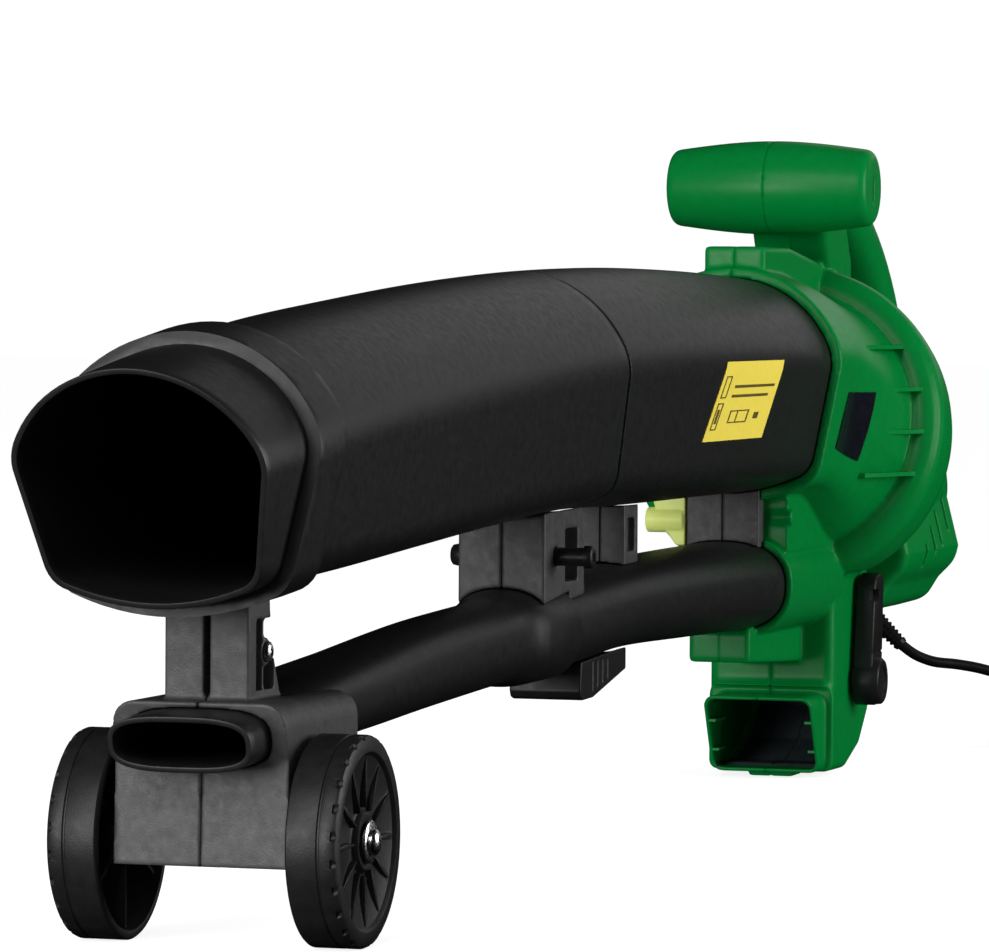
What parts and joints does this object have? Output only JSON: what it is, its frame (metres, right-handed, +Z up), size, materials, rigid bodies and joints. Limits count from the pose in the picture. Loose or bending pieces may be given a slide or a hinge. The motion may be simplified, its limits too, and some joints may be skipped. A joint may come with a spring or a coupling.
{
  "type": "leaf vacuum mulcher",
  "caption": "Hand-held leaf vacuum and blower: D-shaped suction tube over a slim blower tube, front wheels, fan housing with cross handle, rear grip and chute.",
  "frame": {"origin": "middle of the footprint of the machine without its cord, on the ground", "axes": "+X towards the suction mouth, +Y to the operator's left, +Z up"},
  "size_m": [1.4331, 0.2483, 0.3626],
  "materials": {
    "green_shell": "satin moulded green plastic",
    "black_plastic": "satin black moulded plastic",
    "grained_plastic": "grained black plastic",
    "lime_plastic": "satin lime plastic",
    "zinc": "zinc plated",
    "steel": "plain steel",
    "copper": "copper windings",
    "cord_rubber": "matt black rubber",
    "carbon": "pressed carbon",
    "grey_plastic": "grey moulded plastic"
  },
  "bodies": {
    "machine": {"housing_right": "green_shell", "housing_left": "green_shell", "suction_tube_front": "black_plastic", "blower_tube_front": "black_plastic", "suction_tube_rear": "black_plastic", "blower_tube_rear": "black_plastic", "wheel_carrier_right": "grained_plastic", "wheel_carrier_left": "grained_plastic", "cord_coil": "cord_rubber", "plug": "cord_rubber", "mains_cord": "cord_rubber", "motor_stator": "steel", "mid_strut_left": "grained_plastic", "mid_strut_right": "grained_plastic", "motor_bridge": "grey_plastic", "wheel_screw_left": "zinc", "wheel_screw_right": "zinc", "motor_bearing_front": "steel", "motor_bearing_rear": "steel", "wheel_washer_left": "zinc", "wheel_washer_right": "zinc", "bag_hook": "black_plastic", "tube_web_middle": "grained_plastic", "carrier_screw": "steel", "tube_latch": "lime_plastic", "tube_web_rear": "grained_plastic", "strain_relief": "cord_rubber", "housing_screw_1": "steel", "housing_screw_2": "steel", "housing_screw_3": "steel", "housing_screw_4": "steel", "cord_tie": "grey_plastic", "motor_brush_upper": "carbon", "motor_brush_lower": "carbon", "switch_body": "grey_plastic"},
    "left_wheel": {"wheel_left": "black_plastic"},
    "right_wheel": {"wheel_right": "black_plastic"},
    "rotor": {"motor_shaft": "steel", "impeller": "grey_plastic", "impeller_nut": "zinc", "motor_armature": "copper", "motor_commutator": "copper"},
    "selector": {"selector_lever": "black_plastic", "selector_flap": "black_plastic"},
    "trigger_lever": {"trigger": "black_plastic"},
    "tube_pin": {"lock_pin": "black_plastic"}
  },
  "joints": [
    {"name": "left_wheel_roll", "type": "hinge", "parent": "machine", "child": "left_wheel", "pos_m": [0.5526, 0.053, 0.045], "axis": [0, 1, 0], "continuous": true},
    {"name": "right_wheel_roll", "type": "hinge", "parent": "machine", "child": "right_wheel", "pos_m": [0.5526, -0.053, 0.045], "axis": [0, 1, 0], "continuous": true},
    {"name": "rotor_spin", "type": "hinge", "parent": "machine", "child": "rotor", "pos_m": [-0.4354, 0, 0.1955], "axis": [0.9806, 0, 0.1959], "continuous": true},
    {"name": "selector_turn", "type": "hinge", "parent": "machine", "child": "selector", "pos_m": [-0.4304, 0, 0.053], "axis": [0, 1, 0], "range_deg": [0, 70]},
    {"name": "trigger_pull", "type": "hinge", "parent": "machine", "child": "trigger_lever", "pos_m": [-0.4874, 0, 0.318], "axis": [0, 1, 0], "range_deg": [0, 10], "stiffness_Nm_per_rad": 0.4, "springref_deg": -17.19},
    {"name": "tube_pin_push", "type": "slide", "parent": "machine", "child": "tube_pin", "axis": [0, -1, 0], "range_m": [0, 0.012], "stiffness_N_per_m": 250, "springref_m": -0.004}
  ]
}
